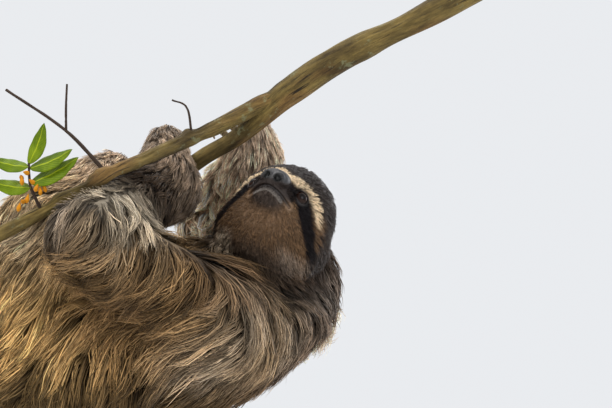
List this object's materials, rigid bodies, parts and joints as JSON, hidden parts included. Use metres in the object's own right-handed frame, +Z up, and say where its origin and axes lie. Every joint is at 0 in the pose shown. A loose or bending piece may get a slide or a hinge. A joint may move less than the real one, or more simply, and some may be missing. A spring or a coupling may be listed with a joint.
{
  "type": "three-toed sloth model",
  "caption": "Life-size brown-throated three-toed sloth hanging belly-up from a forked branch by its hooked claws, on a plain display stand.",
  "frame": {"origin": "centre of the underside of the stand's base, at floor level", "axes": "+Z up, +X towards the animal's head end and along the base's length, -Y is the side the animal shows with its left flank"},
  "size_m": [0.5791, 0.322, 0.6186],
  "materials": {
    "coat": "long coarse grey-brown hair",
    "claws": "smooth pale horn",
    "eyes": "glossy dark brown",
    "nose": "bare dark grey skin",
    "bark": "rough bark with pale lichen",
    "leaves": "smooth leaf",
    "stand_paint": "satin dark paint",
    "stand_steel": "brushed"
  },
  "bodies": {
    "root": {"head": "coat", "neck": "coat", "trunk": "coat", "tail": "coat", "upper_arm_L": "coat", "forearm_L": "coat", "hand_L": "coat", "upper_arm_R": "coat", "forearm_R": "coat", "hand_R": "coat", "thigh_L": "coat", "shank_L": "coat", "foot_L": "coat", "thigh_R": "coat", "shank_R": "coat", "foot_R": "coat", "claw_hand_L_1": "claws", "claw_hand_L_2": "claws", "claw_hand_L_3": "claws", "claw_hand_R_1": "claws", "claw_hand_R_2": "claws", "claw_hand_R_3": "claws", "claw_foot_L_1": "claws", "claw_foot_L_2": "claws", "claw_foot_L_3": "claws", "claw_foot_R_1": "claws", "claw_foot_R_2": "claws", "claw_foot_R_3": "claws", "eye_L": "eyes", "eye_R": "eyes", "nose": "nose", "perch": "bark", "perch_leaf_1": "leaves", "perch_leaf_2": "leaves", "perch_leaf_3": "leaves", "perch_leaf_4": "leaves", "perch_leaf_5": "leaves", "stand_base": "stand_paint", "stand_rod": "stand_steel"}
  },
  "joints": []
}
